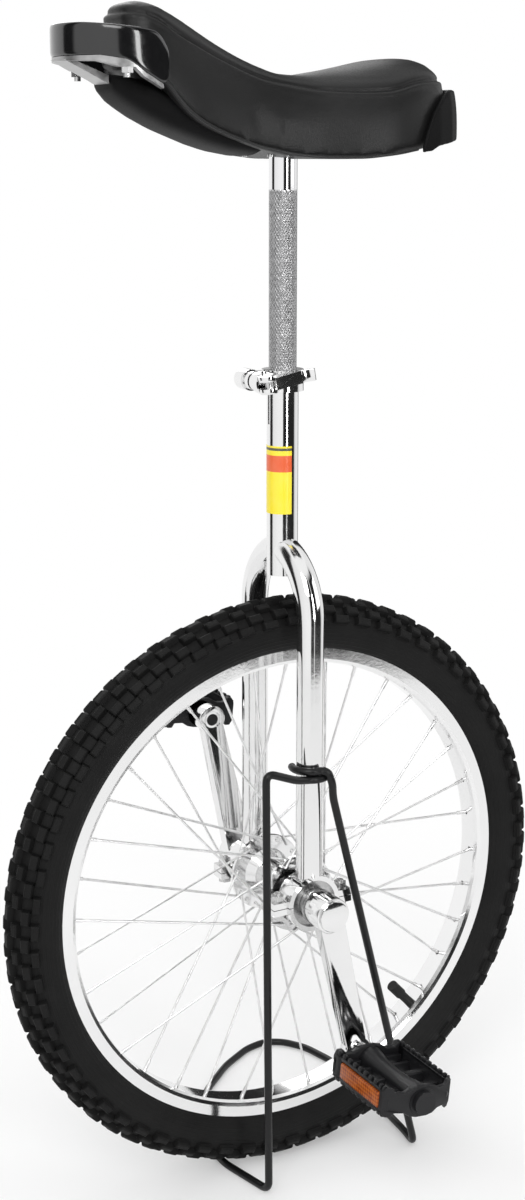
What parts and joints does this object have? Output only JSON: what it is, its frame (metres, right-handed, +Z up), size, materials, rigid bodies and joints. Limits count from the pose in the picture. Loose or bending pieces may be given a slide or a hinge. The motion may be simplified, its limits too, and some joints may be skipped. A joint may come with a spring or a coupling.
{
  "type": "unicycle",
  "caption": "Pedal unicycle: knobbly tyre on a chrome spoked wheel, cranks on the hub, chrome fork, quick-release saddle post, curved black saddle and a clip-on wire stand.",
  "frame": {"origin": "the tyre's contact point with the floor, under the axle, at the middle of the bottom of the box", "axes": "+X the way it is ridden, +Y the rider's left along the axle, +Z up along the seat tube"},
  "size_m": [0.4999, 0.362, 0.962],
  "materials": {
    "chrome_frame": "bright chrome plate on steel tube",
    "chrome_post": "chrome plate, knurled below its smooth top",
    "chrome_clamp": "bright chrome plate",
    "chrome_rim": "bright chrome plate",
    "chrome_hub": "bright chrome plate",
    "chrome_crank": "bright chrome plate",
    "zinc_fasteners": "bright zinc plate",
    "bearing_steel": "ground steel",
    "spoke_steel": "drawn steel wire, bright plate",
    "steel_plate": "grey pressed steel",
    "black_wire": "satin black paint on steel wire",
    "sticker_film": "yellow film with a plain red band",
    "black_base_plastic": "moulded black plastic, fine grain",
    "saddle_foam": "soft moulded foam",
    "black_vinyl": "satin black vinyl, fine leather grain",
    "vinyl_piping": "black vinyl cord",
    "gloss_black_handle": "polished black plastic",
    "tyre_rubber": "black moulded rubber with tread blocks",
    "tube_rubber": "black butyl rubber",
    "valve_rubber": "black rubber and plastic",
    "pedal_plastic": "moulded black plastic",
    "amber_reflector": "clear orange plastic with a prism grid"
  },
  "bodies": {
    "frame": {"seat_tube": "chrome_frame", "left_fork_leg": "chrome_frame", "right_fork_leg": "chrome_frame", "left_bearing_holder": "chrome_frame", "right_bearing_holder": "chrome_frame", "left_bearing_cap": "chrome_frame", "right_bearing_cap": "chrome_frame", "bearing_cap_bolts": "zinc_fasteners", "bearing_cap_nuts": "zinc_fasteners", "left_bearing_outer_ring": "bearing_steel", "right_bearing_outer_ring": "bearing_steel", "seat_tube_sticker": "sticker_film", "clamp_collar": "chrome_clamp", "clamp_skewer": "zinc_fasteners", "clamp_washers": "chrome_clamp", "clamp_pivot_pin": "zinc_fasteners", "wire_stand": "black_wire"},
    "clamp_lever": {"clamp_lever": "chrome_clamp"},
    "clamp_nut": {"clamp_nut": "chrome_clamp"},
    "saddle": {"seatpost": "chrome_post", "saddle_plate": "steel_plate", "saddle_bolts": "zinc_fasteners", "saddle_nuts": "zinc_fasteners", "saddle_base": "black_base_plastic", "saddle_foam": "saddle_foam", "saddle_cover": "black_vinyl", "saddle_piping": "vinyl_piping", "front_handle": "gloss_black_handle", "handle_bracket": "steel_plate", "handle_bolts": "zinc_fasteners", "rear_bumper": "black_base_plastic"},
    "wheel": {"tyre": "tyre_rubber", "inner_tube": "tube_rubber", "valve_stem": "valve_rubber", "valve_cap": "valve_rubber", "rim": "chrome_rim", "rim_tape": "tube_rubber", "spokes": "spoke_steel", "spoke_nipples": "spoke_steel", "hub_shell": "chrome_hub", "axle": "bearing_steel", "bearing_inner_rings": "bearing_steel", "bearing_balls": "bearing_steel", "hub_spacers": "bearing_steel", "axle_collars": "bearing_steel", "left_crank": "chrome_crank", "right_crank": "chrome_crank", "crank_bolts": "zinc_fasteners", "crank_dust_caps": "chrome_crank", "left_pedal_spindle": "chrome_crank", "right_pedal_spindle": "chrome_crank"},
    "left_pedal": {"left_pedal_body": "pedal_plastic", "left_pedal_reflectors": "amber_reflector", "left_pedal_end_cap": "pedal_plastic"},
    "right_pedal": {"right_pedal_body": "pedal_plastic", "right_pedal_reflectors": "amber_reflector", "right_pedal_end_cap": "pedal_plastic"}
  },
  "joints": [
    {"name": "wheel_spin", "type": "hinge", "parent": "frame", "child": "wheel", "pos_m": [0, 0, 0.25], "axis": [0, 1, 0], "continuous": true},
    {"name": "left_pedal_spin", "type": "hinge", "parent": "wheel", "child": "left_pedal", "pos_m": [-0.02857, 0.135, 0.12113], "axis": [0, 1, 0], "continuous": true},
    {"name": "right_pedal_spin", "type": "hinge", "parent": "wheel", "child": "right_pedal", "pos_m": [0.02857, -0.135, 0.37887], "axis": [0, 1, 0], "continuous": true},
    {"name": "saddle_height", "type": "slide", "parent": "frame", "child": "saddle", "axis": [0, 0, 1], "range_m": [-0.055, 0.045]},
    {"name": "clamp_lever_swing", "type": "hinge", "parent": "frame", "child": "clamp_lever", "pos_m": [0.0237, 0.02, 0.677], "axis": [-0.1736, 0, -0.9848], "range_deg": [0, 120]},
    {"name": "clamp_nut_turn", "type": "hinge", "parent": "frame", "child": "clamp_nut", "pos_m": [0.0237, -0.015, 0.677], "axis": [0, -1, 0], "continuous": true}
  ]
}
